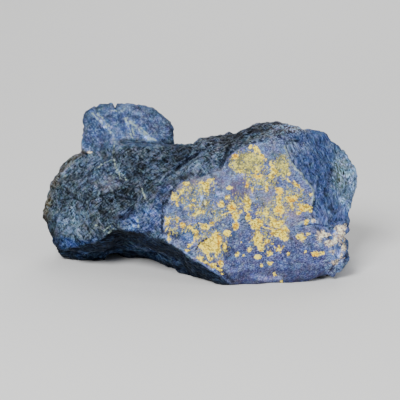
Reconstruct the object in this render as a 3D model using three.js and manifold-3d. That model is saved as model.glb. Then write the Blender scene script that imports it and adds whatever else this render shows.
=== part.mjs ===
// A hand specimen of massive lazulite: one broken lump of blue rock, in millimetres, +Z up.
// Its front is a leaning joint face, a plate with a broken outline that stands a little proud. Left
// of it the lump slopes back to a saddle, behind which a knob rises. A hollow fracture undercuts the
// front left, so the lump stands on the rest of its base. The back is plain fracture faces.
import * as THREE from "three";
import { ConvexGeometry } from "three/addons/geometries/ConvexGeometry.js";
import { ImprovedNoise } from "three/addons/math/ImprovedNoise.js";
import { mergeVertices } from "three/addons/utils/BufferGeometryUtils.js";
import Module from "manifold-3d";

const wasm = await Module();
wasm.setup();

// ---- Driving dimensions -------------------------------------------------------------------------
const DEGREE = Math.PI / 180;
const LONGEST_EDGE = 3.9; // no triangle edge is longer than this once the lump is refined
const SHORTEST_EDGE = 1.5; // edges shorter than this are closed up before the lump is weathered
const REACH = 120; // longer than the lump, for the blocks and bars that are broken out of it
const FLATNESS = 0.97; // a side is turned only between faces whose normals' dot product is at least this
const ROUNDER = 1.05; // and only where that makes the less round face rounder by this factor
const REPAIR_ROUNDS = 3; // how often short sides are closed up and others turned
const REPAIR_PASSES = 8; // the most passes over the net in each of those rounds
const WORN = 0.25; // share of the way that each point moves to its neighbours' centre as edges wear round

// The front plate: how far it turns to the right and leans back, and the point it is measured from.
const PLATE_TURN = 8 * DEGREE;
const PLATE_LEAN = 24 * DEGREE;
const PLATE_FOOT = new THREE.Vector3(20.3, -30.5, 3.7);
const PLATE_DEPTH = 7; // how far its slab runs in, most of it inside the lump

// The undercut's wall runs in and down at this angle below the horizontal.
const UNDERCUT_FALL = 36 * DEGREE;

// The relief of the broken faces: how high it is, and how far one rise is from the next.
const SWELLS = { height: 2.2, spacing: 17 };
const LUMPS = { height: 1.8, spacing: 8.5 };
const CREASES = { height: 1.2, spacing: 6.5 };
const STRANDS = { height: 1.5, along: 18, across: 6, deep: 4.5 };
const WANDER = { height: 1.3, spacing: 13 };
const PLATE_RELIEF = 0.25; // the plate's share of that relief

// ---- Solids and geometries ----------------------------------------------------------------------
function solidOf(geometry) {
  const bare = geometry.clone();
  bare.deleteAttribute("normal");
  bare.deleteAttribute("uv");
  const merged = mergeVertices(bare, 1e-4);
  return new wasm.Manifold(
    new wasm.Mesh({
      numProp: 3,
      vertProperties: new Float32Array(merged.attributes.position.array),
      triVerts: new Uint32Array(merged.index.array),
    }),
  );
}

// A solid's corners as vectors, and its faces as triples of their numbers.
function netOf(solid) {
  const { numProp, numVert, vertProperties, triVerts } = solid.getMesh();
  const points = [];
  for (let i = 0; i < numVert; i++) {
    points.push(new THREE.Vector3().fromArray(vertProperties, i * numProp));
  }
  const faces = [];
  for (let i = 0; i < triVerts.length; i += 3) {
    faces.push([...triVerts.subarray(i, i + 3)]);
  }
  return { points, faces };
}

function geometryOf({ points, faces }) {
  return new THREE.BufferGeometry()
    .setAttribute("position", new THREE.Float32BufferAttribute(points.flatMap((p) => p.toArray()), 3))
    .setIndex(faces.flat());
}

// ---- The lumps: each is the hull of its own corners ---------------------------------------------
const lump = (corners) => solidOf(new ConvexGeometry(corners.map((c) => new THREE.Vector3(...c))));

const middle = lump([
  // behind the plate
  [-9, -18, 35.5], [0, -15.5, 37], [8, -13.5, 39.5], [18.5, -8, 48], [31, -5.5, 49.5],
  [42.5, -13, 30], [41, -16, 23.5], [-13, -24.5, 21], [-10, -27, 13], [10, -29.5, 2],
  [20, -30, -1], [48, -24, 3], [48, -23, -1],
  // the crest
  [1.5, 4, 45], [9, 5, 48], [19, 6, 51], [26.5, 6, 53], [38, 5, 52.5],
  [15, -3, 48.5], [22, 0, 52], [32, -1, 52.5],
  // the back
  [-6, 22, 40], [14, 27, 44], [38, 21, 42], [44, 28, 18], [8, 33, 16], [-16, 31, 8],
  [40, 29, -1], [-14, 29, -1],
]);

const left = lump([
  // the shoulder and the tip
  [-61.5, 6, 16.5], [-57.5, 7, 24], [-54, 8, 30], [-51, 8, 34.5], [-48, 9, 38],
  [-58, 2, 11], [-54.5, 0, 5],
  // the front, over the undercut and below it
  [-54, -2, 5.5], [-41.5, -12, 11], [-33, -17, 17.5], [-26, -21, 18.5], [-18.5, -25, 18],
  [-53.5, -2, 19], [-39.5, -14, 23.5], [-18.5, -19, 29.5], [-11.5, -16.5, 35.5], [0, -15.5, 37],
  [-52, -1, -1], [-40, -12, -1], [-30, -18, -1], [-12, -27, -1], [5, -27, -1],
  // the saddle
  [-33, 3, 46.5], [-19, 3, 46.5], [-9, 3, 46], [0, 3, 45.5],
  // the back
  [-57, 15, 27], [-51, 21, 36], [-50, 25, -1], [-55, 19, 7], [-38, 31, 14], [-16, 30, -1],
  [-40, 27, 38], [-12, 29, 36], [-12, 31, 20], [6, 26, 36], [2, 28, 4],
]);

const knob = lump([
  // its outline from the front
  [-44.5, 8, 57], [-38.5, 9, 59], [-30.5, 10, 61], [-22.5, 10, 61], [-15.5, 10, 57.5],
  [-12, 10, 53.5], [-10, 10, 48.5], [-9, 10, 43.5], [-45, 7, 48], [-43.5, 5, 42],
  [-30, 6, 52], [-37, 3, 38], [-12, 8, 38],
  // its back, which runs down into the lump
  [-40, 22, 54.5], [-31, 26, 56], [-19, 23, 55], [-11.5, 21, 45], [-44, 22, 43],
  [-40, 21, 26], [-16, 21, 26],
]);

const rightWing = lump([
  // beside the plate
  [31, -7.5, 49], [35, -12, 43], [39.5, -15.5, 32.5], [40, -18, 24], [51.5, -5.5, 39],
  [50.5, -13.5, 24.5], [47.5, -17.5, 22.5], [43, -19.5, 20], [46, -18, 14],
  // its outline from the front
  [38, 5, 52], [45, 5, 50], [53, 5, 43.5], [57, 5, 40], [60.5, 5, 33],
  [53.5, 2, 24], [52.5, 0, 19.5], [53, -5, 6],
  // its back
  [58, 14, 29], [50, 21, 39], [53, 22, 6], [38, 22, 43], [30, 20, 20],
]);

const rightFoot = lump([
  [44, -19.5, 17.5], [50.5, -15, 20], [52.5, -10, 19], [52.5, -16.5, 15], [52, -19.5, 11],
  [54, -21, 8], [54, -22.5, 5], [50.5, -24, 2], [43.5, -25.5, 1.5], [30, -27, -1],
  [53.5, 0, 16], [55.5, 8, 6], [54, 16, -1], [50, -20, 0.5], [30, 0, 10], [45, 24, -1],
]);

// A rounded fold of the fibres that runs down from the crest beside the plate, left of its two lobes.
const fold = lump([
  [14, -5, 49], [10, -9.5, 47], [6, -12.5, 43], [-2, -14.5, 40.5], [-10, -17.5, 37], [-16, -20.5, 32],
  [-21, -22.5, 26], [-24, -23, 20], [-20, -24.5, 16], [-15, -24.5, 25], [-10, -24, 12], [0, -16, 37],
  [-2, -8, 44], [-13, -13, 39.5], [-22, -17.5, 31], [-30, -18, 22], [0, -6, 42], [-16, -10, 30],
]);

// ---- The front plate: a slab cut to its broken outline ------------------------------------------
// Along and up its slope from PLATE_FOOT: up the left side, over the two lobes, down the right.
const PLATE_OUTLINE = [
  [-7, -3.5], [-16, 2.5], [-24.5, 7], [-31.5, 12.5], [-34.5, 15.5], [-34.5, 19], [-33, 26.5], [-30, 33],
  [-28.5, 35], [-26, 36.5], [-19.5, 38], [-16.5, 39.5], [-11, 40.5], [-8.5, 45.5], [-6, 47.5], [0, 50],
  [5, 51], [13.5, 52], [15, 45.5], [16.5, 42], [20, 37.5], [23.5, 33], [24, 30.5], [22, 23.5], [23, 20],
  [25, 17], [29, 16.5], [35.5, 20.5], [34, 10.5], [35, 6.5], [34.5, 3.5], [30.5, 1], [30, -0.5],
  [16, -1.5], [5, -3.5], [-1, -3.5],
];
const PLATE_FACING = new THREE.Vector3(0, 0, 1)
  .applyAxisAngle(new THREE.Vector3(1, 0, 0), Math.PI / 2 - PLATE_LEAN)
  .applyAxisAngle(new THREE.Vector3(0, 0, 1), PLATE_TURN);

function frontPlate() {
  const outline = new THREE.Shape(PLATE_OUTLINE.map(([along, up]) => new THREE.Vector2(along, up)));
  const slab = new THREE.ExtrudeGeometry(outline, { depth: PLATE_DEPTH, bevelEnabled: false });
  slab.translate(0, 0, -PLATE_DEPTH);
  slab.rotateX(Math.PI / 2 - PLATE_LEAN).rotateZ(PLATE_TURN);
  slab.translate(PLATE_FOOT.x, PLATE_FOOT.y, PLATE_FOOT.z);
  return solidOf(slab);
}

// ---- What is broken away ------------------------------------------------------------------------
// The arch that the hollow fracture leaves on the front, seen along its own fall: across, and up.
const UNDERCUT_ARCH = [
  [-75, 4], [-54, 3.5], [-47, 2], [-41.5, 2], [-33, 4], [-29, 4], [-18.5, 0], [-11, -5], [-3.5, -9.5],
  [4.5, -14], [13.5, -18.5], [24, -24], [24, -60], [-75, -60],
];

function undercut() {
  const arch = new THREE.Shape(UNDERCUT_ARCH.map(([across, up]) => new THREE.Vector2(across, up)));
  const bar = new THREE.ExtrudeGeometry(arch, { depth: REACH, bevelEnabled: false });
  bar.translate(0, 0, -REACH / 2);
  bar.rotateX(Math.PI / 2 - UNDERCUT_FALL);
  return solidOf(bar);
}

// A shell-shaped scoop: a stretched ball, its long axis turned to a bearing and a rise in degrees.
function scoop(centre, radii, bearing, rise) {
  const ball = new THREE.SphereGeometry(1, 20, 12);
  ball.scale(...radii);
  ball.rotateY(-rise * DEGREE).rotateZ(bearing * DEGREE);
  ball.translate(...centre);
  return solidOf(ball);
}

// A flat fracture: all that lies past a point on its face, on the side that it looks to, is gone.
function fracture(point, bearing, rise) {
  const waste = new THREE.BoxGeometry(REACH, 2 * REACH, 2 * REACH);
  waste.translate(REACH / 2, 0, 0);
  waste.rotateY(-rise * DEGREE).rotateZ(bearing * DEGREE);
  waste.translate(...point);
  return solidOf(waste);
}

const broken = [
  undercut(),
  // the dark trough that runs down from the saddle, and a smaller one on the right wing
  scoop([-24, -18.5, 46], [30, 11, 13], 28, 26),
  scoop([44.5, -19.5, 45], [14, 6, 10], 118, 62),
  scoop([-51, -11, 35], [13, 9, 9], 50, 60),
  scoop([-2, -13.5, 49], [22, 4.5, 5], 24, 22),
  // the strip under the plate, which falls back to the foot
  fracture([20.5, -30, 7], -82, -13),
  // the back, seen from behind from left to right, and its top edges
  fracture([48, 26, 20], 62, 4),
  fracture([20, 29, 30], 84, 28),
  fracture([-8, 31, 14], 97, -5),
  fracture([-44, 26, 30], 122, 12),
  fracture([-55, 16, 12], 150, -14),
  fracture([-24, 24, 56], 80, 48),
  fracture([52, 12, 44], 30, 46),
];

const grown = [middle, left, knob, rightWing, rightFoot, fold, frontPlate()];
const whole = grown.reduce((joined, next) => joined.add(next));
const rock = broken.reduce((kept, waste) => kept.subtract(waste), whole);

// ---- Refining: long edges are split at their middles until none is too long ---------------------
function refine({ points, faces }) {
  for (;;) {
    const middles = new Map();
    const middleOf = (a, b) => {
      if (points[a].distanceTo(points[b]) <= LONGEST_EDGE) return -1;
      const key = Math.min(a, b) + "," + Math.max(a, b);
      if (!middles.has(key)) middles.set(key, points.push(points[a].clone().lerp(points[b], 0.5)) - 1);
      return middles.get(key);
    };
    faces = faces.flatMap(([a, b, c]) => {
      return splitFace(points, [a, b, c], [middleOf(a, b), middleOf(b, c), middleOf(c, a)]);
    });
    if (!middles.size) return { points, faces };
  }
}

// A face with some of its sides' middles given, as one to four faces.
function splitFace(points, corners, middles) {
  const splits = middles.filter((m) => m >= 0).length;
  if (splits === 0) return [corners];
  // Turn the face so that its first side is split, and with two splits its third side is whole.
  const turn = splits === 2 ? (middles.indexOf(-1) + 1) % 3 : middles.findIndex((m) => m >= 0);
  const [a, b, c] = [0, 1, 2].map((i) => corners[(i + turn) % 3]);
  const [ab, bc, ca] = [0, 1, 2].map((i) => middles[(i + turn) % 3]);
  if (splits === 3) return [[a, ab, ca], [ab, b, bc], [ca, bc, c], [ab, bc, ca]];
  if (splits === 1) return [[a, ab, c], [ab, b, c]];
  const shorter = points[a].distanceTo(points[bc]) < points[ab].distanceTo(points[c]);
  return [[ab, b, bc], ...(shorter ? [[a, ab, bc], [a, bc, c]] : [[a, ab, c], [ab, bc, c]])];
}

// ---- Closing up: each edge that is too short becomes one point, where that keeps the skin closed 
function neighbours({ points, faces }) {
  const around = points.map(() => new Set());
  for (const [a, b, c] of faces) {
    around[a].add(b).add(c);
    around[b].add(c).add(a);
    around[c].add(a).add(b);
  }
  return around;
}

function closeUp({ points, faces }) {
  for (let pass = 0; pass < REPAIR_PASSES; pass++) {
    const around = neighbours({ points, faces });
    const goesTo = points.map((_, i) => i);
    const touched = new Set();
    for (const [a, b] of faces.flatMap(([a, b, c]) => [[a, b], [b, c], [c, a]])) {
      const near = [a, b, ...around[a], ...around[b]];
      if (points[a].distanceTo(points[b]) >= SHORTEST_EDGE || near.some((i) => touched.has(i))) continue;
      if ([...around[a]].filter((i) => around[b].has(i)).length !== 2) continue;
      goesTo[b] = a;
      points[a].lerp(points[b], 0.5);
      near.forEach((i) => touched.add(i));
    }
    const moved = faces.map((face) => face.map((i) => goesTo[i]));
    faces = moved.filter(([a, b, c]) => a !== b && b !== c && c !== a);
    if (!touched.size) break;
  }
  const used = [...new Set(faces.flat())];
  const place = new Map(used.map((old, i) => [old, i]));
  return {
    points: used.map((i) => points[i]),
    faces: faces.map((face) => face.map((i) => place.get(i))),
  };
}

// ---- Turning: a side between two faces that lie nearly flat is turned where that makes them rounder --
const faceOf = (points, corners) => new THREE.Triangle(...corners.map((i) => points[i]));
const normalOf = (points, corners) => faceOf(points, corners).getNormal(new THREE.Vector3());

// How round the less round of two faces is: its area over the square of its longest side.
function roundness(points, pair) {
  return Math.min(...pair.map((corners) => {
    const sides = corners.map((i, k) => points[i].distanceTo(points[corners[(k + 1) % 3]]));
    return faceOf(points, corners).getArea() / Math.max(...sides) ** 2;
  }));
}

// Each side, named by its two ends in order, with its face and the face's third corner.
function sidesOf(faces) {
  const sides = new Map();
  faces.forEach(([a, b, c], face) => {
    sides.set(a + "," + b, { face, far: c });
    sides.set(b + "," + c, { face, far: a });
    sides.set(c + "," + a, { face, far: b });
  });
  return sides;
}

function turnSides({ points, faces }) {
  for (let pass = 0; pass < REPAIR_PASSES; pass++) {
    const sides = sidesOf(faces);
    const touched = new Set();
    for (const [name, { face, far }] of sides) {
      const [a, b] = name.split(",").map(Number);
      const across = sides.get(b + "," + a);
      if (touched.has(face) || touched.has(across.face)) continue;
      if (sides.has(far + "," + across.far) || sides.has(across.far + "," + far)) continue;
      const before = [[a, b, far], [b, a, across.far]];
      const after = [[far, a, across.far], [across.far, b, far]];
      if (roundness(points, after) <= ROUNDER * roundness(points, before)) continue;
      const [n1, n2, n3, n4] = [...before, ...after].map((corners) => normalOf(points, corners));
      if (Math.min(n1.dot(n2), n3.dot(n4), n1.dot(n3), n2.dot(n4)) < FLATNESS) continue;
      [faces[face], faces[across.face]] = after;
      sides.set(far + "," + across.far, { face, far: a });
      sides.set(across.far + "," + far, { face: across.face, far: b });
      touched.add(face).add(across.face);
    }
    if (!touched.size) break;
  }
  return { points, faces };
}

// ---- Weathering: edges are worn round, and the faces get their lumps, ridges and pits -----------
function relax(net) {
  const around = neighbours(net);
  const next = net.points.map((point, i) => {
    const centre = new THREE.Vector3();
    around[i].forEach((j) => centre.add(net.points[j]));
    return point.clone().lerp(centre.divideScalar(around[i].size), WORN);
  });
  return { points: next, faces: net.faces };
}

const perlin = new ImprovedNoise();
const relief = (p, spacing, seed) => perlin.noise(
  p.x / spacing + seed,
  p.y / spacing - seed,
  p.z / spacing + 2 * seed,
);

// Ridges along the fibres of the rock, which run down to the left.
const FIBRE = new THREE.Vector3(-0.8, -0.25, -0.55).normalize();
const ACROSS = new THREE.Vector3(0, 0, 1).cross(FIBRE).normalize();
const INWARD = FIBRE.clone().cross(ACROSS);
const strand = (p) => perlin.noise(
  p.dot(FIBRE) / STRANDS.along + 2.9,
  p.dot(ACROSS) / STRANDS.across,
  p.dot(INWARD) / STRANDS.deep,
);

function weather(net) {
  const geometry = geometryOf(net);
  geometry.computeVertexNormals();
  const points = net.points.map((point, i) => {
    const outward = new THREE.Vector3().fromBufferAttribute(geometry.attributes.normal, i);
    const overPlate = point.clone().sub(PLATE_FOOT).dot(PLATE_FACING);
    const onPlate = Math.abs(overPlate) < 0.8 && outward.dot(PLATE_FACING) > 0.8;
    const share = onPlate ? PLATE_RELIEF : 1;
    const wander = new THREE.Vector3(
      relief(point, WANDER.spacing, 3.1),
      relief(point, WANDER.spacing, 7.7),
      relief(point, WANDER.spacing, 12.3),
    );
    const rise = SWELLS.height * relief(point, SWELLS.spacing, 1.7)
      + LUMPS.height * relief(point, LUMPS.spacing, 4.9)
      + CREASES.height * (0.25 - Math.abs(relief(point, CREASES.spacing, 9.4)))
      + STRANDS.height * strand(point);
    const moved = point.clone().addScaledVector(wander, share * WANDER.height);
    return moved.addScaledVector(outward, share * rise);
  });
  return { points, faces: net.faces };
}

let even = refine(netOf(rock));
for (let round = 0; round < REPAIR_ROUNDS; round++) even = turnSides(closeUp(even));
const wornNet = turnSides(relax(even));
const weathered = solidOf(geometryOf(weather(wornNet)));

// ---- The flat that it rests on, and the origin: the middle of the bounding box's base -----------
const stone = geometryOf(netOf(weathered.subtract(fracture([0, 0, 0], 0, -90))));
stone.computeBoundingBox();
const middleOfBox = stone.boundingBox.getCenter(new THREE.Vector3());
stone.translate(-middleOfBox.x, -middleOfBox.y, -stone.boundingBox.min.z);

const material = new THREE.MeshStandardMaterial({ color: 0x4a5f9a, roughness: 0.75, metalness: 0 });
const mesh = new THREE.Mesh(stone, material);
mesh.name = "lazulite_stone";
const specimen = new THREE.Group();
specimen.add(mesh);

export default specimen;
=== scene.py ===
# %% [markdown]
# # A hand specimen of lazulite
#
# Lazulite is a blue phosphate mineral. This specimen is one broken lump of it: a flat, yellow-patched
# front face, a dark fibrous slope on its left with a knob above, a streaky blue wing on its right and
# a hollow underneath, which lies in deep shade and is painted near-black. The lump is already a plain
# solid. Here it gets its fine surface and its colours, and everything is measured in metres, in the
# solid's own frame.

import math

import bpy
import numpy as np
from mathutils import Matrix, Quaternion, Vector, noise


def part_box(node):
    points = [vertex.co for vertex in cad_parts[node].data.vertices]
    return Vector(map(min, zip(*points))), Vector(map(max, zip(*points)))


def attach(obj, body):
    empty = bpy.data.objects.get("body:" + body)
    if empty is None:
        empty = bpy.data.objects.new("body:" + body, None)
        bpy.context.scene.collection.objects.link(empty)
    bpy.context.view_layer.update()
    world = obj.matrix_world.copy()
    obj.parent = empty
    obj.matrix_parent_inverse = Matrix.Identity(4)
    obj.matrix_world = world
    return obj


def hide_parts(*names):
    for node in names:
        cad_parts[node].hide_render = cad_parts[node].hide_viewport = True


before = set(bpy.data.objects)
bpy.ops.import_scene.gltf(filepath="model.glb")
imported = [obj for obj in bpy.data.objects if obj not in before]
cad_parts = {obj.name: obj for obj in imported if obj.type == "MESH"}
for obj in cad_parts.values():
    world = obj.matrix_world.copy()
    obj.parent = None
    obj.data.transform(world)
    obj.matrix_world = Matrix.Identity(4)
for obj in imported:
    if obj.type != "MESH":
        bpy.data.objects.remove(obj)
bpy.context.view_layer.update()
SOLID = "lazulite_stone"
MM = 0.001
low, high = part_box(SOLID)
print("solid, mm:", [round((b - a) / MM, 1) for a, b in zip(low, high)])

# %% [markdown]
# ## The view
#
# The specimen is looked at from straight in front and a little above, from far away with a long lens,
# so that its outline is hardly changed by perspective. The camera is placed by its distance and tilt
# from the point that it looks at.

# %% Camera
VIEW_DISTANCE = 0.700
VIEW_WIDTH = 0.153
VIEW_TILT = math.radians(15)
SENSOR = 36.0
LOOKED_AT = Vector((0.15, -1.2, 24.6)) * MM
TO_VIEWER = Vector((0, -math.cos(VIEW_TILT), math.sin(VIEW_TILT)))


def put(name, data, place, direction):
    """Put a camera or a lamp at a place, pointing in a direction."""
    made = bpy.data.objects.new(name, data)
    made.location = place
    made.rotation_euler = direction.to_track_quat("-Z", "Y").to_euler()
    bpy.context.scene.collection.objects.link(made)
    return made


camera_data = bpy.data.cameras.new("view")
camera_data.sensor_width = SENSOR
camera_data.lens = SENSOR * VIEW_DISTANCE / VIEW_WIDTH
camera = put("view", camera_data, LOOKED_AT + TO_VIEWER * VIEW_DISTANCE, -TO_VIEWER)
bpy.context.scene.camera = camera
print("lens:", round(camera_data.lens, 1), "mm")

# %% [markdown]
# ## Floor and light
#
# The stone stands on a wide pale floor. Three large soft lamps light it: a main one in front
# and above, and weaker ones at the right and behind, so that the broken surface keeps some shadow.

# %% Floor
FLOOR_SIZE = 8.0
PAPER_COLOUR, PAPER_ROUGHNESS = (0.78, 0.78, 0.77), 0.9


def plain_finish(name, colour, roughness):
    """A material of one colour."""
    finish = bpy.data.materials.new(name)
    finish.use_nodes = True
    shader = finish.node_tree.nodes["Principled BSDF"]
    shader.inputs["Base Color"].default_value = (*colour, 1)
    shader.inputs["Roughness"].default_value = roughness
    return finish


bpy.ops.object.select_all(action="DESELECT")
bpy.ops.mesh.primitive_plane_add(size=FLOOR_SIZE, location=(0, 0, 0))
floor = bpy.context.object
floor.name = "floor"
floor.data.materials.append(plain_finish("pale_paper", PAPER_COLOUR, PAPER_ROUGHNESS))
print("floor:", FLOOR_SIZE, "m wide")

# %% Lamps
LAMPS = {  # place, size and watts
    "main": ((-0.35, -0.8, 0.75), 0.45, 17.0),
    "side": ((0.8, -0.4, 0.45), 0.5, 3.1),
    "back": ((0.1, 0.8, 0.7), 0.7, 6.5),
}
SKY_STRENGTH = 0.23

for name, (place, size, watts) in LAMPS.items():
    lamp_data = bpy.data.lights.new(name, "AREA")
    lamp_data.size = size
    lamp_data.energy = watts
    put(name, lamp_data, place, LOOKED_AT - Vector(place))
sky = bpy.data.worlds.new("studio")
sky.use_nodes = True
sky_inputs = sky.node_tree.nodes["Background"].inputs
sky_inputs["Color"].default_value = (1, 1, 1, 1)
sky_inputs["Strength"].default_value = SKY_STRENGTH
bpy.context.scene.world = sky
print("lamps:", ", ".join(LAMPS))

# %% [markdown]
# ## The raw lump
#
# The solid has faces a few millimetres wide, too few for a broken surface. A copy of it is merged,
# cut into small even faces by a voxel Remesh, and smoothed until the big faces no longer show. Then
# the faces towards the viewer are cut once more, because that side carries the finest marks.
# Sculpting by hand would do too, but modifiers give the same shape each time the script runs.

# %% Helpers for the mesh
def choose(piece):
    """Select one object alone and make it the active one."""
    bpy.ops.object.select_all(action="DESELECT")
    piece.select_set(True)
    bpy.context.view_layer.objects.active = piece


def apply_modifier(piece, kind, **settings):
    """Add a modifier, set it and apply it at once."""
    choose(piece)
    bpy.ops.object.modifier_add(type=kind)
    modifier = piece.modifiers[-1]
    for key, value in settings.items():
        setattr(modifier, key, value)
    bpy.ops.object.modifier_apply(modifier=modifier.name)


def smooth(piece, rounds, area=""):
    """Move each point halfway towards its neighbours, round after round."""
    apply_modifier(piece, "SMOOTH", factor=0.5, iterations=rounds, vertex_group=area)


def vectors_of(items, key):
    """One vector for each item, as the rows of an array."""
    flat = np.empty(len(items) * 3)
    items.foreach_get(key, flat)
    return flat.reshape(-1, 3)


def points_of(piece):
    return vectors_of(piece.data.vertices, "co")


def normals_of(piece):
    return vectors_of(piece.data.vertex_normals, "vector")


print("points of the solid:", len(points_of(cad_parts[SOLID])))

# %% Copy and remesh
WELD = 0.001 * MM  # points closer than this become one
VOXEL = 0.85 * MM
SMOOTHING_ROUNDS = 6

choose(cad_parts[SOLID])
bpy.ops.object.duplicate()
stone = bpy.context.object
stone.name = "stone"
# The copy starts clean, without the marks that tie the solid to its place in the frame.
for key in list(stone.keys()):
    del stone[key]
stone.parent = None
stone.data.materials.clear()
bpy.ops.object.mode_set(mode="EDIT")
bpy.ops.mesh.select_all(action="SELECT")
bpy.ops.mesh.remove_doubles(threshold=WELD)
bpy.ops.object.mode_set(mode="OBJECT")
apply_modifier(stone, "REMESH", mode="VOXEL", voxel_size=VOXEL)
smooth(stone, SMOOTHING_ROUNDS)
print("remeshed:", len(stone.data.vertices), "points")

# %% Cut the front finer
FRONT_FACING = 0.2
FRONT_SMOOTHING_ROUNDS = 2

choose(stone)
front = vectors_of(stone.data.polygons, "normal") @ np.array(TO_VIEWER) > FRONT_FACING
bpy.ops.object.mode_set(mode="EDIT")
bpy.ops.mesh.select_all(action="DESELECT")
bpy.ops.object.mode_set(mode="OBJECT")
stone.data.polygons.foreach_set("select", front)
bpy.ops.object.mode_set(mode="EDIT")
bpy.ops.mesh.subdivide(number_cuts=1)
bpy.ops.object.mode_set(mode="OBJECT")
smooth(stone, FRONT_SMOOTHING_ROUNDS)
triangles = sum(len(face.vertices) - 2 for face in stone.data.polygons)
print("front cut:", len(stone.data.vertices), "points,", triangles, "triangles")

# %% [markdown]
# ## A drawing sheet over the front
#
# The front has many areas with edges of their own. They are drawn on a sheet that is laid over the
# view: 400 squares wide and high, counted from its top left, each 0.38 mm on the stone. A point of
# the stone has a place on the sheet, and its distance to a drawn outline is worked out in millimetres.
# A painted mask could be laid over the view in the same way, but an outline is sharp at any size, and
# it can be read and changed.

# %% The sheet
SHEET = 400
SQUARE_MM = VIEW_WIDTH / SHEET / MM
VIEW_UP = Vector((0, math.sin(VIEW_TILT), math.cos(VIEW_TILT)))


def on_sheet(points):
    """The column and row of each point on the sheet."""
    from_target = points - np.array(LOOKED_AT)
    away = VIEW_DISTANCE - from_target @ np.array(TO_VIEWER)
    scale = SHEET / VIEW_WIDTH * VIEW_DISTANCE / away
    column = SHEET / 2 + from_target[:, 0] * scale
    row = SHEET / 2 - from_target @ np.array(VIEW_UP) * scale
    return np.stack([column, row], axis=1)


print("a square of the sheet, mm:", round(SQUARE_MM, 4))

# %% Distances on the sheet
def line_distance(places, start, end):
    """Distance in millimetres from each place to a straight stretch."""
    start, end = np.array(start, float), np.array(end, float)
    along = end - start
    share = np.clip((places - start) @ along / (along @ along), 0, 1)
    return np.linalg.norm(places - start - share[:, None] * along, axis=1) * SQUARE_MM


def path_distance(places, path):
    """Distance in millimetres from each place to an open line."""
    return np.min([line_distance(places, a, b) for a, b in zip(path, path[1:])], axis=0)


def inside_by(places, outline):
    """How far inside a closed outline each place is, in millimetres; outside it is negative."""
    distance = path_distance(places, outline + outline[:1])
    inside = np.zeros(len(places), bool)
    for (x1, y1), (x2, y2) in zip(outline, outline[1:] + outline[:1]):
        if y1 == y2:
            continue
        crosses = (y1 > places[:, 1]) != (y2 > places[:, 1])
        inside ^= crosses & (places[:, 0] < x1 + (places[:, 1] - y1) * (x2 - x1) / (y2 - y1))
    return np.where(inside, distance, -distance)


def oval_inside_by(places, x, y, half_width, half_height, turn=0.0):
    """The same for an oval round x and y; turn is in degrees, anticlockwise as seen."""
    across, down = (places - np.array((x, y), float)).T
    c, s = math.cos(math.radians(turn)), math.sin(math.radians(turn))
    u, v = across * c - down * s, across * s + down * c
    reach = np.hypot(u / half_width, v / half_height)
    return (1 - reach) * min(half_width, half_height) * SQUARE_MM


def ramp(values, start, end):
    """0 below start, 1 above end and a smooth rise between them."""
    t = np.clip((values - start) / (end - start), 0, 1)
    return t * t * (3 - 2 * t)


print("middle of a spot 20 squares wide, mm inside:", oval_inside_by(np.zeros((1, 2)), 0, 0, 10, 10))

# %% The main outlines
PLATE_RIGHT = [
    (285, 145.3), (288.7, 154), (292.3, 162.4), (296.6, 168), (303, 174), (304.8, 179), (309.4, 183),
    (314.4, 189), (314.8, 197.4), (311, 213), (316, 228), (330, 240), (338, 262),
]
PLATE = [
    (163, 226), (165, 214), (167, 205), (170, 197), (173, 190), (182, 182), (200, 178), (213, 172),
    (222, 170), (227, 158), (232, 153), (240, 148), (250, 144), (262, 142), (284, 139), *PLATE_RIGHT,
    (336, 276), (300, 281), (255, 290), (237, 289), (230, 284), (210, 270), (194, 260), (183, 252),
    (171, 244), (164, 236),
]
UNDERSIDE = [
    (55, 250), (70, 248), (90, 243), (100, 240), (112, 230), (130, 231), (150, 237), (162, 241),
    (171, 244.5), (183, 252), (194, 260), (210, 270), (230, 284), (237, 287), (237, 300), (50, 300),
]
WING = [
    (284, 124), (312, 124), (345, 142), (362, 172), (352, 215), (350, 270), *reversed(PLATE_RIGHT),
]
KNOB = [
    (78, 152), (78, 100), (120, 95), (165, 103), (182, 145), (150, 146), (125, 146), (113, 147),
    (100, 150), (88, 153),
]
print("outline points:", sum(len(outline) for outline in (PLATE, UNDERSIDE, WING, KNOB)))

# %% Masks of the main areas
FACING = (-0.1, 0.15)  # from turned away to turned towards the viewer
FOOT = (0.6 * MM, 2.2 * MM)  # heights between which the points come free of the flat base
PLATE_EDGE = (-0.2, 0.5)  # from outside to inside, in mm
AREA_EDGE = (-0.5, 0.5)


def towards_viewer(piece):
    """1 where a piece's surface looks straight at the viewer, and -1 where it looks away."""
    return normals_of(piece) @ np.array(TO_VIEWER)


def front_masks(piece):
    """Sheet places of a piece's points, and how much each belongs to the main areas."""
    places = on_sheet(points_of(piece))
    facing = ramp(towards_viewer(piece), *FACING)
    above_foot = ramp(points_of(piece)[:, 2], *FOOT)
    masks = {
        "plate": ramp(inside_by(places, PLATE), *PLATE_EDGE) * facing,
        "under": ramp(inside_by(places, UNDERSIDE), *AREA_EDGE) * facing,
        "wing": ramp(inside_by(places, WING), *AREA_EDGE) * facing,
        "knob": ramp(inside_by(places, KNOB), *AREA_EDGE),
    }
    named = sum(masks[key] for key in ("plate", "under", "wing"))
    masks["rough"] = 1 - masks["plate"]
    masks["back"] = 1 - facing
    masks["slope"] = np.clip(1 - named - masks["knob"], 0, 1)
    return places, facing, {key: mask * above_foot for key, mask in masks.items()}


places, facing, masks = front_masks(stone)
print("points by area:", {key: int(mask.sum()) for key, mask in masks.items()})

# %% [markdown]
# ## Relief
#
# The stone broke along bundles of fibres, which run down to the left on the slope, steeply on the
# wing and along the arch underneath. Each relief is a Displace modifier with a simple texture. The
# texture is stretched along the fibres by an Empty, and a vertex group keeps it in its own area. A
# bump in the material alone would not change the outline or throw a shadow.

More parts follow.
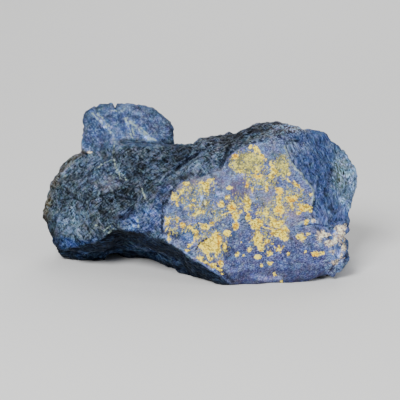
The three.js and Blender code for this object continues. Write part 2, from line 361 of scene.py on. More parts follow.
# %% Layers of relief
LAYERS = [  # name, texture, area, size in mm, turn in degrees and height in mm
    ("blocks", "VORONOI", "back", (17, 10, 10), 20, 2.2),
    ("ledges", "VORONOI", "rough", (9, 5, 5), 35, 1.3),
    ("bundles", "MUSGRAVE", "slope", (16, 3.4, 3.4), 38, 0.55),
    ("crossing", "CLOUDS", "slope", (6, 1.7, 1.7), 70, 1.0),
    ("blades", "CLOUDS", "wing", (8, 1.1, 1.1), -76, 0.8),
    ("streaks", "CLOUDS", "under", (16, 1.8, 1.8), -12, 1.3),
    ("chips", "VORONOI", "knob", (4, 3, 3), -30, 0.8),
    ("crumbs", "CLOUDS", "rough", (1.5, 1.5, 1.5), 0, 0.9),
    ("skin", "CLOUDS", "plate", (2.6, 2.6, 2.6), 0, 0.35),
]
print("heights, mm:", {name: height for name, *_, height in LAYERS})

# %% Vertex groups
WEIGHT_STEPS = 50
MERGED_CORNER = (333, 221, 20, 14)  # the plate's right end, where its edge runs out into the wing
MERGED_EDGE = (0, 2.5)
MERGING_ROUNDS = 40


def set_group(piece, name, weights):
    """Keep weights as a vertex group, in even steps, because one call then sets many points."""
    group = piece.vertex_groups.new(name=name)
    steps = np.round(np.clip(weights, 0, 1) * WEIGHT_STEPS).astype(int)
    for step in range(1, WEIGHT_STEPS + 1):
        group.add(np.nonzero(steps == step)[0].tolist(), step / WEIGHT_STEPS, "REPLACE")


for area, mask in masks.items():
    set_group(stone, area, mask)
set_group(stone, "merged", ramp(oval_inside_by(places, *MERGED_CORNER), *MERGED_EDGE) * facing)
smooth(stone, MERGING_ROUNDS, "merged")
print("vertex groups:", len(stone.vertex_groups))

# %% Lay on the relief
def turned(degrees):
    """The turn that lays the first axis at an angle on the sheet."""
    return Quaternion(TO_VIEWER, math.radians(degrees)).to_euler()


for name, kind, area, size, turn, height in LAYERS:
    texture = bpy.data.textures.new(name, kind)
    texture.noise_scale = 1.0
    if kind == "CLOUDS":
        texture.noise_depth = 2
    bpy.ops.object.select_all(action="DESELECT")
    bpy.ops.object.empty_add()
    grid = bpy.context.object
    grid.rotation_euler = turned(turn)
    grid.scale = [length * MM for length in size]
    bpy.context.view_layer.update()
    apply_modifier(
        stone, "DISPLACE", texture=texture, texture_coords="OBJECT", texture_coords_object=grid,
        vertex_group=area, strength=height * MM, mid_level=0.5,
    )
    choose(grid)
    bpy.ops.object.delete()
print("relief layers:", len(LAYERS))

# %% [markdown]
# ## Edges, cracks and chipped corners
#
# The plate stands a little proud of the rock round it, behind a narrow groove. A few cracks cut into
# the stone, and some corners of its outline are chipped or pulled out. All of them are pushes of the
# points: the first two along the normals, the last straight across or up, as with a sculpting brush.

# %% Cracks
CRACKS = [  # half width in mm, then the points of the line
    (0.35, (163, 203), (162, 216), (161.5, 230)), (0.5, (228, 150), (224, 158), (220, 168)),
    (0.1, (113, 139.5), (130, 139.5), (150, 142.5), (176, 144)), (0.3, (113.5, 148), (113.5, 158)),
    (0.3, (289, 140.2), (299, 140.6)), (0.3, (82, 216), (86, 226), (93, 238)),
    (0.3, (60, 200), (74, 198), (88, 205)), (0.5, (205, 149), (192, 157), (178, 168), (166, 176)),
    (0.2, (302, 226), (315, 224), (328, 226)), (0.3, (330, 270), (337, 262), (345, 256)),
    (0.3, (196, 250), (200, 243), (207, 239)), (0.4, (100, 196), (112, 192), (122, 198), (135, 200)),
    (0.15, (198, 222), (199, 232)), (0.15, (188, 251), (196, 246)), (0.2, (263, 203), (266, 210)),
]
print("cracks:", len(CRACKS))

# %% Step, groove and cracks
PLATE_STEP, STEP_EDGE = 0.45, (-0.1, 0.45)  # in mm, as all of these
GROOVE_OUT, GROOVE_WIDTH, GROOVE_DEPTH = 0.6, 0.7, 0.55
UNDERSIDE_EDGE = (-0.5, 1.0)
CRACK_DEPTH, CRACK_EDGE = 0.5, (-0.3, 0.2)


def deepest_stroke(places, strokes):
    """How far inside the nearest of some strokes each place is, in millimetres."""
    return np.max([width - path_distance(places, line) for width, *line in strokes], axis=0)


def push(piece, name, weights, strength, direction="NORMAL"):
    """Move a piece's points by a strength in mm, each by its weight."""
    set_group(piece, name, weights)
    apply_modifier(piece, "DISPLACE", vertex_group=name, strength=strength * MM, mid_level=0.0,
                   direction=direction)


places, facing = front_masks(stone)[:2]
on_plate = inside_by(places, PLATE)
free = ramp(points_of(stone)[:, 2], *FOOT) * facing
push(stone, "step", ramp(on_plate, *STEP_EDGE) * free, PLATE_STEP)
groove = 1 - np.abs(on_plate + GROOVE_OUT) / GROOVE_WIDTH
not_below = ramp(-inside_by(places, UNDERSIDE), *UNDERSIDE_EDGE)
push(stone, "groove", np.clip(groove, 0, 1) * free * not_below, -GROOVE_DEPTH)
push(stone, "cracks", ramp(deepest_stroke(places, CRACKS), *CRACK_EDGE) * free, -CRACK_DEPTH)
print("lowest point after the pushes, mm:", round((points_of(stone)[:, 2].min() - low[2]) / MM, 2))

# %% Chipped corners
NUDGES = [  # direction, millimetres and the oval that is pushed
    ("Z", 0.9, (128, 103, 14, 6)), ("Z", -0.4, (104, 101, 5, 4)), ("Z", 1.2, (89, 107, 8, 7)),
    ("Z", 0.5, (111, 103, 3, 4)), ("Z", -1.6, (115, 104, 1.8, 5)), ("Z", -0.5, (136, 103, 1.5, 3)),
    ("Z", -0.3, (156, 108, 13, 6)), ("X", 0.5, (172, 128, 8, 18)), ("X", -1.0, (83, 132, 7, 22)),
    ("X", -0.7, (86, 110, 6, 6)), ("X", -0.8, (83, 131, 5, 7)), ("X", 1.2, (343, 231, 6, 6)),
    ("X", 0.6, (352, 168, 9, 12)), ("Z", -0.5, (337, 139, 7, 4)), ("Z", -0.5, (320, 128, 8, 5)),
    ("Z", -0.6, (344, 147, 5, 5)), ("X", 0.4, (350, 158, 5, 6)), ("Z", -0.1, (275, 120, 10, 5)),
    ("Z", 0.4, (305, 128, 6, 4)), ("Z", 0.7, (204, 143, 7, 5)), ("Z", 0.5, (297, 125, 8, 5)),
    ("Z", -0.8, (225, 133, 16, 6)), ("X", 1.3, (348, 225, 10, 12)), ("X", 1.9, (347, 250, 10, 16)),
    ("X", 0.7, (345, 262, 6, 8)), ("Z", -1.6, (337, 270, 12, 8)), ("Z", -0.8, (252, 284, 24, 6)),
    ("Z", -1.3, (184, 272, 18, 7)), ("Z", -1.5, (150, 263, 20, 7)), ("Z", -2.2, (98, 259, 38, 7)),
    ("X", -0.6, (50, 230, 7, 13)), ("Z", -1.2, (190, 142, 16, 7)), ("X", 0.7, (55, 190, 9, 26)),
    ("Z", -0.8, (165, 264, 24, 8)),
]
print("nudges:", len(NUDGES))

# %% Push the corners
NUDGE_SOFTNESS = 0.7  # share of an oval over which its push fades in
REST_MM = 0.3  # no push takes a point closer to the floor than this

for number, (direction, by, oval) in enumerate(NUDGES):
    fade = NUDGE_SOFTNESS * min(oval[2:]) * SQUARE_MM
    near = ramp(oval_inside_by(places, *oval), 0, fade)
    if direction == "Z" and by < 0:
        height_mm = (points_of(stone)[:, 2] - low[2]) / MM
        near = np.minimum(near, np.clip(height_mm - REST_MM, 0, None) / -by)
    push(stone, f"nudge_{number}", near, by, direction)
print("lowest point now, mm:", round((points_of(stone)[:, 2].min() - low[2]) / MM, 2))

# %% Fit the stone into the solid's own box
INSET = 0.02 * MM

choose(stone)
points = points_of(stone)
centre = (points.min(axis=0) + points.max(axis=0)) / 2
room = np.array(high) - np.array(low) - 2 * INSET
shrink = np.minimum(room / (points.max(axis=0) - points.min(axis=0)), 1)
bpy.ops.transform.resize(value=shrink.tolist(), center_override=centre.tolist())
bpy.ops.transform.translate(value=((np.array(low) + np.array(high)) / 2 - centre).tolist())
bpy.ops.object.transform_apply(location=True, rotation=True, scale=True)
drop = low[2] - points_of(stone)[:, 2].min()
bpy.ops.transform.translate(value=(0, 0, drop))
bpy.ops.object.transform_apply(location=True, rotation=True, scale=True)
bpy.ops.object.shade_smooth()
stone.vertex_groups.clear()
print("shrink:", [round(float(s), 4) for s in shrink], "drop, mm:", round(drop / MM, 3))

# %% [markdown]
# ## Colours
#
# Each area has one common look, as it shows on screen, and a kind of surface. The kind says how much
# darker its hollows are and how pale its bright fibres. The view transform greys strong colours, so a
# small formula works back from the look to the base colour. The tones are blended at the points of
# the mesh, in three colour attributes, so that they stay on the stone from every side. An image
# would do too, but it would blur close up.

# %% From look to base colour
SATURATION = 1.28
LOOK_GAIN = 0.36
LOOK_SHOULDER = 2.4
LEAST_LIGHT = 0.002
BASE_RANGE = (0.001, 0.95)
LUMINANCE = np.array((0.21, 0.72, 0.07))
PALE = np.array((212, 226, 240))
HOLLOW_TINT = np.array((0.9, 1.0, 1.15))
# How bright a hollow is beside the common tone, and how far a bright fibre is on the way to PALE.
SURFACES = {
    "shaggy": (0.25, 0.5),
    "fibrous": (0.45, 0.5),
    "frosted": (0.6, 0.7),
    "flecked": (0.4, 0.95),
    "crumbly": (0.5, 0.75),
    "smooth": (0.7, 0.55),
    "dull": (0.4, 0.25),
}


def base_colour(look):
    """The base colour that comes out as a look, given in 0 to 255."""
    share = np.array(look, float) / 255
    # The standard curve from screen values to linear light.
    linear = np.where(share <= 0.04045, share / 12.92, ((share + 0.055) / 1.055) ** 2.4)
    grey = linear @ LUMINANCE
    strong = np.clip(grey + SATURATION * (linear - grey), LEAST_LIGHT, None)
    return np.clip(LOOK_GAIN * strong * (1 + LOOK_SHOULDER * strong ** 3), *BASE_RANGE)


def three_tones(look, surface):
    """Base colours of an area's hollows, of its common surface and of its bright fibres."""
    darkness, paleness = SURFACES[surface]
    look = np.array(look, float)
    hollow, bright = look * darkness * HOLLOW_TINT, look + (PALE - look) * paleness
    return np.array([base_colour(tone) for tone in (hollow, look, bright)])


print("kinds of surface:", ", ".join(SURFACES))

# %% The areas and their tones
COMMON = (82, 98, 126)
DRIFTS = [  # size in mm and look of the slow changes that the areas lie on
    (17, (74, 88, 108)), (13, (90, 110, 148)), (6, (102, 116, 134)), (10, (60, 72, 92)),
]
# Name, look, surface, softness of the edge in mm, and an outline, or an oval in round brackets.
AREAS = [
    ("slope", (92, 106, 120), "fibrous", 1.5, [(36, 222), (42, 200), (56, 168), (80, 146), (112, 138),
        (176, 140), (205, 138), (228, 150), (222, 170), (200, 178), (176, 186), (165, 214), (160, 232),
        (150, 236), (112, 232), (95, 243), (54, 254), (40, 235)]),
    ("knob", (120, 140, 172), "frosted", 0.8, KNOB),
    ("knob violet", (108, 120, 150), "frosted", 3, (158, 122, 16, 14)),
    ("knob heart", (126, 142, 174), "frosted", 3, (133, 122, 13, 17, 30)),
    ("knob left", (98, 115, 152), "frosted", 2, (95, 128, 12, 18)),
    ("upper slope", (100, 116, 138), "fibrous", 3, (99, 166, 16, 17)),
    ("saddle", (78, 92, 110), "shaggy", 2.5, [(113, 147), (150, 148), (176, 146), (205, 140),
        (215, 150), (190, 160), (170, 172), (150, 190), (125, 207), (98, 210), (95, 197), (112, 182),
        (119, 168)]),
    ("darkest", (50, 64, 78), "shaggy", 3, (119, 195, 22, 11, 12)),
    # Painted shade: the crease is darkened for the shadow in the groove above the band.
    ("crease", (70, 86, 110), "fibrous", 1.5, [(202, 148), (208, 153), (184, 167), (168, 179),
        (158, 180), (178, 160)]),
    ("band", (100, 115, 132), "fibrous", 1.2, [(227, 148), (222, 168), (200, 177), (176, 184),
        (165, 196), (150, 208), (128, 222), (118, 218), (132, 203), (150, 190), (168, 176), (190, 166),
        (210, 156)]),
    ("lap", (84, 104, 145), "fibrous", 1.5, (141, 221, 21, 14)),
    # Painted shade: the fold left of the plate is turned away from the lamps, and is darkened for it.
    ("fold", (94, 108, 145), "smooth", 1.5, [(174, 181), (167, 200), (162, 232), (152, 226), (150, 205),
        (158, 188)]),
    ("smooth spot", (135, 138, 150), "smooth", 1.5, (107, 184, 10, 7)),
    ("bulge", (112, 132, 148), "fibrous", 3, (67, 226, 16, 14)),
    ("bulge foot", (62, 92, 145), "fibrous", 1.2, [(52, 238), (60, 252), (80, 248), (102, 241),
        (96, 236), (76, 241), (60, 237)]),
    ("left dark", (80, 96, 110), "fibrous", 1.5, (71, 199, 12, 5, 8)),
    ("knob pocket", (90, 106, 140), "smooth", 2, (121, 118, 8, 6)),
    ("knob crest", (100, 118, 148), "fibrous", 0.8, [(84, 112), (90, 103), (108, 99), (130, 98),
        (150, 104), (166, 114), (160, 116), (146, 111), (128, 106), (108, 109), (92, 113)]),
    ("left crust", (104, 99, 80), "shaggy", 1.2, [(52, 190), (54, 197), (51, 210), (47, 222), (40, 222),
        (40, 206)]),
    ("left rim", (112, 112, 108), "shaggy", 0.8, [(86, 150), (86, 154), (73, 160), (63, 174), (55, 190),
        (48, 186), (58, 168), (70, 150)]),
    ("top strip", (62, 70, 84), "shaggy", 1.2, [(198, 148), (205, 136), (250, 120), (275, 117),
        (292, 127), (280, 131), (250, 137), (228, 150), (214, 154)]),
    ("shelf", (102, 112, 120), "shaggy", 0.8, [(240, 141), (262, 131), (285, 130), (288, 140),
        (262, 141.5), (248, 145)]),
    ("wing", (92, 114, 158), "fibrous", 0.6, WING),
    # Partly painted light: the green tint is the stone's own, and the extra brightness is painted light
    # on the edge that faces the lamps.
    ("wing edge", (142, 165, 186), "flecked", 2.5, [(333, 146), (352, 154), (364, 175), (352, 212),
        (338, 205), (334, 180)]),
    ("wing lime", (146, 162, 152), "flecked", 3, (340, 171, 6, 12)),
    # Painted light: the wing's foot is lightened to offset the shade of the hollow beside it.
    ("wing foot", (114, 126, 165), "fibrous", 2, (322, 218, 13, 14)),
    # Partly painted glints: the corner's grey is the stone's own, and its pale flecks stand for sparkle.
    ("bright corner", (118, 114, 118), "flecked", 1.2, (291, 129, 16, 6)),
    ("wing shade", (60, 82, 130), "smooth", 0.8, (296, 140.5, 9, 3)),
    ("plate", (138, 147, 178), "crumbly", 0.3, PLATE),
    ("plate left", (138, 152, 180), "crumbly", 4, (196, 204, 32, 24)),
    ("plate top", (138, 150, 176), "crumbly", 3, (278, 150, 24, 13)),
    ("plate border", (160, 164, 180), "smooth", 1, [(172, 190), (182, 180), (200, 175), (222, 168),
        (226, 175), (206, 182), (184, 191)]),
    ("plate haze", (148, 150, 178), "crumbly", 2, (218, 185, 10, 7)),
    ("plate pool", (90, 112, 150), "smooth", 1.5, (186, 234, 11, 8)),
    ("plate slate", (160, 164, 180), "frosted", 2, (268, 200, 10, 11)),
    ("plate mauve", (172, 168, 188), "frosted", 2, (292, 215, 12, 9)),
    ("plate sea", (126, 138, 170), "smooth", 2.5, (236, 246, 16, 15)),
    # Painted shadow: a dark ring round a pale centre stands for a small pit that the mesh does not have.
    ("pit ring", (112, 114, 126), "smooth", 0.5, (204.5, 203.5, 4, 3.6)),
    ("plate dusk", (136, 134, 160), "smooth", 1.2, (240, 190, 10, 12)),
    ("plate low", (112, 120, 162), "crumbly", 4, [(222, 240), (262, 232), (290, 244), (316, 240),
        (340, 262), (340, 285), (255, 292), (237, 290), (222, 277)]),
    # Partly painted shade: the violet is the plate's own, and the extra darkness is painted shade on the
    # lower bevel that turns down from the lamps.
    ("plate foot", (97, 101, 138), "smooth", 0.8, [(225, 272), (255, 269), (290, 269), (335, 262),
        (340, 278), (300, 284), (255, 291), (237, 289)]),
    ("right foot", (112, 120, 160), "flecked", 2, (333, 260, 9, 12)),
    # Painted light: the heel is lightened to offset the shadow under the wing's overhang.
    ("wing heel", (112, 130, 172), "fibrous", 1.5, [(318, 207), (345, 205), (348, 221), (338, 225),
        (330, 228), (319, 226)]),
    ("crust haze", (144, 158, 190), "crumbly", 1.2, [(322, 246), (335, 243), (345, 250), (349, 262),
        (338, 270), (330, 262)]),
    ("knob sill", (95, 110, 132), "fibrous", 1, [(112, 137), (130, 137), (150, 140), (176, 141),
        (176, 145), (150, 146), (130, 146), (113, 146)]),
    # Painted shade: the underside is coloured near-black for the shade under the overhang, which the
    # pale floor would light.
    ("underside", (19, 34, 57), "dull", 0.7, UNDERSIDE),
]
print("areas:", len(AREAS))

# %% [markdown]
# ## Painted shade in seams and painted highlight on ridges
#
# Seams between the bundles of fibres get painted shade, and ridges get a painted highlight. Each is
# a soft stroke along a line on the sheet, in one of six strengths, which darkens or lightens the
# tones that it crosses. The relief gives such marks too, but not where this specimen has them.

# %% Painted shade in seams and painted highlight on ridges
# Strengths below 1 are painted shade, and strengths above 1 are painted highlight.
SHADE_AND_HIGHLIGHT_STROKES = {  # how much brighter the tones get; each stroke's half width in mm and its points
    0.28: [
        (1.8, (168, 195), (175, 189)), (1.8, (103, 212), (113, 218), (128, 216), (133, 210)),
        (1.4, (252, 131), (262, 131)), (1.4, (69, 193), (75, 196)),
        (1.2, (116, 231), (130, 233), (143, 235), (151, 232)), (2.0, (44, 217), (50, 232), (58, 248)),
        (1.4, (348, 254), (343, 266)), (1.2, (165, 166), (172, 166)), (1.3, (152, 163), (156, 160)),
        (1.5, (128, 190), (124, 193)), (1.6, (217, 267), (224, 274), (232, 281)),
        (2.2, (171, 233), (177, 236)), (1.8, (330, 208), (334, 212)),
    ],
    0.42: [
        (2.6, (130, 176), (138, 176)), (2.4, (131, 162), (141, 166)), (2.6, (172, 147), (188, 150)),
        (2.6, (170, 160), (184, 156)), (1.6, (163, 186), (176, 180), (191, 173)),
        (2.2, (152, 187), (161, 196), (166, 203)), (2.0, (103, 146), (105, 158)),
        (2.0, (228, 156), (228, 163)), (1.2, (288, 233), (292, 239)), (1.6, (182, 179), (191, 175)),
        (1.6, (50, 216), (54, 230), (60, 242)), (2.0, (224, 246), (228, 256)),
        (1.5, (240, 134), (248, 146)), (1.2, (88, 181), (93, 184)), (1.2, (163, 232), (168, 234)),
        (1.2, (189, 252), (192, 256)), (1.2, (203, 259), (206, 263)), (1.4, (325, 192), (328, 198)),
        (1.2, (211, 174), (214, 179)), (1.4, (270, 180), (276, 184)), (1.6, (228, 248), (235, 252)),
    ],
    0.6: [
        (3.2, (226, 141), (236, 136)), (1.8, (320, 186), (322, 198), (326, 206)),
        (1.2, (283, 133), (287, 142), (291, 150), (296, 157), (305, 165)),
        (1.6, (332, 168), (330, 178), (328, 190)), (1.2, (117, 104), (117, 111)),
        (1.2, (129, 115), (138, 119), (148, 114)), (1.4, (86, 111), (84, 122), (84, 136), (87, 146)),
        (1.4, (88, 232), (95, 222)), (1.4, (61, 204), (65, 211)), (1.4, (88, 138), (96, 150)),
        (1.2, (158, 111), (167, 121), (172, 134)), (1.4, (109, 134), (110, 140)),
        (1.4, (333, 146), (336, 152)), (1.4, (54, 222), (60, 232)), (1.4, (331, 170), (337, 178)),
        (1.4, (186, 178), (191, 184)),
    ],
    1.4: [
        (1.6, (314, 240), (319, 246)), (2.2, (124, 147), (131, 144)),
        (1.2, (134, 128), (142, 134), (150, 141)), (1.3, (160, 180), (168, 176), (175, 166)),
        (1.0, (354, 168), (355, 178), (353, 190)), (1.5, (228, 271), (245, 270)),
        (1.8, (157, 213), (160, 225), (163, 236)), (1.6, (287, 129), (299, 129)),
        (1.2, (301, 148), (312, 149)), (1.5, (78, 228), (80, 236)), (1.6, (194, 251), (197, 255)),
        (1.1, (91, 112), (98, 119), (107, 128), (113, 137)), (1.3, (145, 137), (156, 141)),
        (1.1, (130, 121), (139, 129), (148, 138)), (1.2, (149, 229), (158, 235), (169, 242)),
        (1.4, (73, 222), (78, 228)),
    ],
    1.9: [
        (1.4, (160, 165), (170, 165)), (2.0, (113, 141), (117, 145)), (1.6, (217, 151), (215, 165)),
        (2.4, (196, 164), (203, 172)), (1.8, (63, 223), (71, 221)), (1.2, (85, 213), (86, 223)),
        (0.7, (315, 186), (314, 195), (311, 206)), (3.0, (331, 243), (338, 234)),
        (1.0, (246, 126), (256, 122)), (1.6, (73, 208), (75, 217)), (1.2, (124, 117), (129, 130)),
        (1.2, (116, 139), (130, 138), (146, 138)), (1.3, (320, 188), (322, 194)),
        (1.3, (172, 186), (176, 190)), (1.5, (236, 178), (242, 175)), (1.6, (251, 192), (254, 200)),
        (1.2, (349, 176), (352, 188)), (1.6, (336, 254), (342, 260)), (1.3, (312, 222), (316, 223)),
        (1.2, (184, 254), (200, 263), (211, 270)), (3.4, (334, 214), (344, 216)),
    ],
    2.8: [
        (1.3, (102, 122), (105, 127)), (2.4, (206, 146), (214, 148)), (1.3, (64, 174), (70, 167)),
        (1.7, (95, 188), (98, 199)), (1.6, (136, 219), (133, 227), (126, 231)),
        (1.7, (148, 212), (153, 212)), (1.2, (118, 171), (124, 176)), (1.4, (218, 194), (222, 195)),
        (0.9, (202, 196), (200, 206)), (1.6, (78, 255), (100, 255), (120, 252)),
        (2.4, (128, 246), (145, 251), (158, 257)), (2.0, (160, 256), (178, 263)),
        (1.4, (252, 276), (265, 279), (280, 278)), (2.0, (188, 236), (192, 240)),
        (2.0, (341, 200), (346, 208)), (1.4, (335, 232), (342, 240)),
    ],
}
print("seams and ridges:", sum(len(strokes) for strokes in SHADE_AND_HIGHLIGHT_STROKES.values()))

# %% Blend the tones over the points
EDGE_WANDER = 1.2
MOST_WANDER = 1.5
WANDER_SIZE = 5 * MM
DRIFT_RANGE = (-0.15, 0.5)
DRIFTS_APART = 10.0
SEEN = (-0.35, 0.0)
STROKE_CORE = 0.8


def slow_noise(points, size, offset=0.0):
    """A smooth wander between about -1 and 1."""
    shift = Vector((offset, offset, offset))
    return np.array([noise.noise(Vector(point) / size + shift) for point in points])


def how_far_in(places, shape):
    """How far inside an outline, which is a list, or an oval each place is."""
    return inside_by(places, shape) if isinstance(shape, list) else oval_inside_by(places, *shape)


places, facing, masks = front_masks(stone)
points = points_of(stone)
wander = slow_noise(points, WANDER_SIZE) * EDGE_WANDER
tones = np.empty((len(points), 3, 3))
tones[:] = three_tones(COMMON, "fibrous")
for number, (size, look) in enumerate(DRIFTS, 1):
    share = ramp(slow_noise(points, size * MM, DRIFTS_APART * number), *DRIFT_RANGE)
    tones += share[:, None, None] * (three_tones(look, "fibrous") - tones)
covered = {}
for name, look, surface, edge, shape in AREAS:
    far_in = how_far_in(places, shape) + wander * min(edge, MOST_WANDER)
    share = ramp(far_in, -edge, edge) * facing
    covered[name] = share.sum()
    tones += share[:, None, None] * (three_tones(look, surface) - tones)
seen = ramp(towards_viewer(stone), *SEEN)
# Paint the shade and highlight strokes into the tones.
for gain, strokes in SHADE_AND_HIGHLIGHT_STROKES.items():
    for half_width, *path in strokes:
        near = ramp(1 - path_distance(places, path) / half_width, 0, STROKE_CORE) * seen
        tones *= (1 + near * (gain - 1))[:, None, None]
print("areas blended over", len(points), "points; the smallest is the", min(covered, key=covered.get))

# %% Keep the tones
def store(piece, name, values):
    """Keep a number, or a colour, for each point."""
    if values.ndim == 1:
        attribute = piece.data.attributes.new(name, "FLOAT", "POINT")
        attribute.data.foreach_set("value", values.astype(np.float32))
    else:
        attribute = piece.data.color_attributes.new(name, "FLOAT_COLOR", "POINT")
        rgba = np.concatenate([values, np.ones((len(values), 1))], axis=1)
        attribute.data.foreach_set("color", rgba.astype(np.float32).ravel())


for step, name in enumerate(("hollow_tone", "common_tone", "bright_tone")):
    store(stone, name, tones[:, step])
print("tones stored:", len(stone.data.color_attributes))

# %% [markdown]
# ## Yellow patches and pale crust
#
# A yellow crust clings to the plate in patches, some with an orange heart, and thins out to a veil
# between them. A pale crust sits on the right end. They are only stains, so they are drawn and not
# raised: each as one or more ovals or streaks. The points of the mesh keep only how far they are
# inside the nearest one, and the material makes the edge ragged, much finer than the mesh itself.

# %% Patches
PATCHES = [  # each oval is x, y, half width, half height and, where it is turned, degrees
    (235.5, 156.5, 4, 3), (256, 149, 3, 5, 45), (262, 156.5, 2.4, 5.5, 45), (251, 147, 2, 2),
    (240, 171, 2.5, 2), (257, 171, 2, 3), (272, 176, 4, 2.5), (258, 176.5, 4, 2.5),
    (274, 170, 2.5, 5, 40), (247.3, 185, 2, 3.5), (252, 189, 1.3, 3), (266.8, 187, 2.5, 4.5),
    (279.3, 191, 4, 4), (278.8, 200, 3, 4.5), (291.8, 199, 6, 3.5), (292, 206, 1.8, 4),
    (279.3, 210, 5, 6), (304.8, 207.8, 7, 4), (299.3, 213, 2.5, 2), (310.7, 194.2, 2, 1.5),
    (297, 185, 1.8, 5, 40), (289, 174, 2, 2.5), (247.9, 203.4, 3.5, 7), (232, 208, 4.5, 5),
    (235, 216.7, 4, 2.5), (235.7, 226, 3.5, 4.5), (256, 224, 7, 5.5), (248, 218, 3, 3),
    (276.6, 224, 7, 4.5), (278.8, 232.7, 9, 4.5), (284, 238, 5, 3.5), (258, 239, 5, 8),
    (266.8, 241.3, 3, 2.5), (299.3, 236.5, 3.5, 3), (308, 233.8, 2, 1.5), (306.4, 222.4, 2.5, 3.5),
    (302, 240, 2.5, 1.6), (315.6, 253.8, 3.5, 3), (321.5, 252.7, 3, 2), (305.8, 251.6, 1.5, 1.5),
    (249.5, 249.5, 2.5, 2), (237, 254.3, 2.2, 2.2), (243.5, 255.4, 1, 1), (257.6, 257, 3.5, 2.5),
    (269.5, 253.3, 3.5, 3), (278.8, 249, 3.5, 3), (269.5, 263.6, 3, 2.2), (262, 265.2, 2, 2),
    (288.5, 254.3, 1.1, 3), (275, 275, 1.6, 2.4), (281.5, 281.4, 1.6, 1), (266.8, 213, 2, 4),
    (281, 217.5, 1.5, 1.5), (185.7, 184, 3.5, 3), (173.5, 196.3, 2.6, 4), (206, 187, 3, 5.5),
    (211, 180, 4, 1.5), (229.6, 188, 3, 2.3), (227, 197.3, 3, 2), (221.4, 204.5, 3.5, 3),
    (246.4, 201.4, 3.5, 4.5), (201, 211.6, 3.5, 2.2), (195, 214.7, 2.5, 2), (190.8, 205.5, 3, 2),
    (193.9, 200.4, 2, 1.8), (167.3, 222.3, 1.8, 5, -25), (168.4, 240, 2.5, 1.8), (169.4, 234, 1.1, 3.2),
    (182.7, 224.9, 3.3, 3), (189.8, 226, 2, 1.5), (177.5, 219.8, 1.6, 3), (205, 227, 5, 3.2),
    (196, 233, 2.2, 6, 15), (212, 223.4, 2.4, 2.2), (227.5, 233.6, 4, 3.2), (213.8, 265.7, 4, 3),
    (220.4, 263, 2.8, 4), (223.5, 273.9, 2, 1.2), (225, 246.3, 2.4, 3), (205.9, 203.6, 1.8, 1.8),
    (241.3, 241.7, 1.1, 1.1), (201, 258, 2.5, 2), (187.8, 250.4, 2, 1.4), (190.8, 244, 4, 1.2, 35),
    (286, 230, 3, 3.5), (240, 212, 2, 2.5),
]
STREAKS = [  # half width in mm, then the points of the line
    (0.7, (270, 163), (274, 168), (276, 173), (270, 177)), (0.6, (231, 203), (236, 212), (235, 226)),
    (0.5, (246, 196), (249, 203), (245, 210), (250, 217)), (0.3, (240, 204), (246, 201)),
    (0.7, (277, 188), (280, 195), (278, 203), (282, 213)), (0.5, (286, 197), (298, 197)),
    (0.35, (288, 180), (296, 186), (303, 190)), (0.7, (299, 205), (306, 207), (311, 211)),
    (0.5, (246, 218), (254, 222), (262, 222), (258, 230)), (0.5, (266, 241), (262, 248)),
    (0.6, (270, 218), (281, 222), (286, 230), (280, 236)), (0.4, (268, 228), (278, 231)),
    (0.4, (262, 226), (268, 229)), (0.7, (256, 231), (258, 246), (262, 250)),
    (0.6, (201, 183), (208, 183), (207, 191)), (0.45, (191, 228), (196, 233), (194, 241), (188, 247)),
    (0.4, (198, 223), (210, 226), (215, 222)), (0.35, (165, 217), (168, 226), (166, 230)),
    (0.4, (170, 231), (168, 243)), (0.5, (205, 262), (212, 267), (221, 270)),
    (0.5, (197, 258), (207, 263)), (0.4, (301, 232), (304, 238), (309, 234)),
    (0.3, (222, 215), (230, 212), (236, 216)), (0.4, (183, 190), (176, 200), (178, 207)),
    (0.3, (194, 206), (200, 211), (206, 214)), (0.4, (255, 214), (262, 212), (270, 214)),
    (0.35, (272, 244), (280, 252), (284, 246)),
]
BIG_PATCH = [(197, 245), (206, 239), (217, 231), (222, 237), (220.5, 252), (211, 262), (203, 252)]
ORANGE = [
    (235.5, 156.5, 3, 2), (247.3, 184, 1.5, 2), (266, 157.5, 2, 2), (279.3, 191, 3, 2.5),
    (292, 199.5, 5, 2.5), (279.3, 209.5, 3, 3), (232, 208, 2.5, 2.5), (235.7, 226, 2, 2.5),
    (182.7, 225, 2, 2), (315, 255, 2.5, 2), (219, 240, 2.2, 6), (258, 176.5, 2, 1.5),
    (226, 246, 1.2, 1.5), (219, 262, 1.5, 1.5), (303, 208, 2.5, 1.5), (168.4, 240, 1.5, 1),
]
VEILS = [  # strength, then the oval
    (0.95, 247, 163, 19, 14), (0.6, 183, 194, 17, 13), (0.95, 281, 167, 10, 13),
    (0.5, 200, 208, 17, 11), (0.5, 240, 203, 19, 12), (0.5, 272, 215, 18, 14), (0.45, 262, 238, 13, 13),
    (0.4, 212, 245, 18, 20), (0.5, 290, 200, 19, 14), (0.5, 215, 215, 13, 9), (0.4, 173, 225, 9, 13),
    (0.5, 205, 188, 13, 10), (0.5, 260, 178, 20, 14), (0.4, 190, 228, 12, 8),
]
CRUSTS = [
    (321, 234, 5, 3.5), (319, 238, 3, 3.5), (326.5, 235, 4, 2), (329, 243, 5, 3.5), (338.5, 229, 4, 4),
    (341, 237, 4.5, 8), (343.5, 247, 2.5, 5), (335, 235, 2, 3), (336, 240, 3, 3), (344, 227, 2.5, 3.5),
    (335, 262, 5, 2.2, 20), (341, 257, 2.5, 3), (333, 252, 3, 1.5), (313, 221, 1.6, 1.6),
    (88.5, 152, 2, 0.9),
]
BLUE_HOLES = [(212.2, 254.5, 3.2, 2.8), (279, 213, 0.9, 0.9)]
print("patches:", len(PATCHES) + 1, "streaks:", len(STREAKS), "veils:", len(VEILS))

